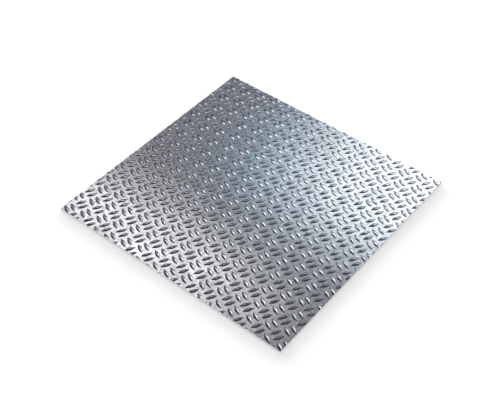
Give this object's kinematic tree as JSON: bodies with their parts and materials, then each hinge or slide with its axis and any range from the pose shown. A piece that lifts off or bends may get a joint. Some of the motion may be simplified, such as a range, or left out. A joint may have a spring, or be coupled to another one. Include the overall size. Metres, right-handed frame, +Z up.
{
  "type": "tread plate",
  "caption": "Flat square sheet of aluminium with raised non-slip bars in pairs set crosswise to one another, a smooth underside and plainly cut edges.",
  "frame": {"origin": "middle of the smooth underside", "axes": "+X and +Y along the cut edges, +Z up out of the patterned face"},
  "size_m": [0.5, 0.5, 0.004],
  "materials": {
    "rolled_aluminium": "bright mill finish, as rolled"
  },
  "bodies": {
    "root": {"tread_plate": "rolled_aluminium"}
  },
  "joints": []
}
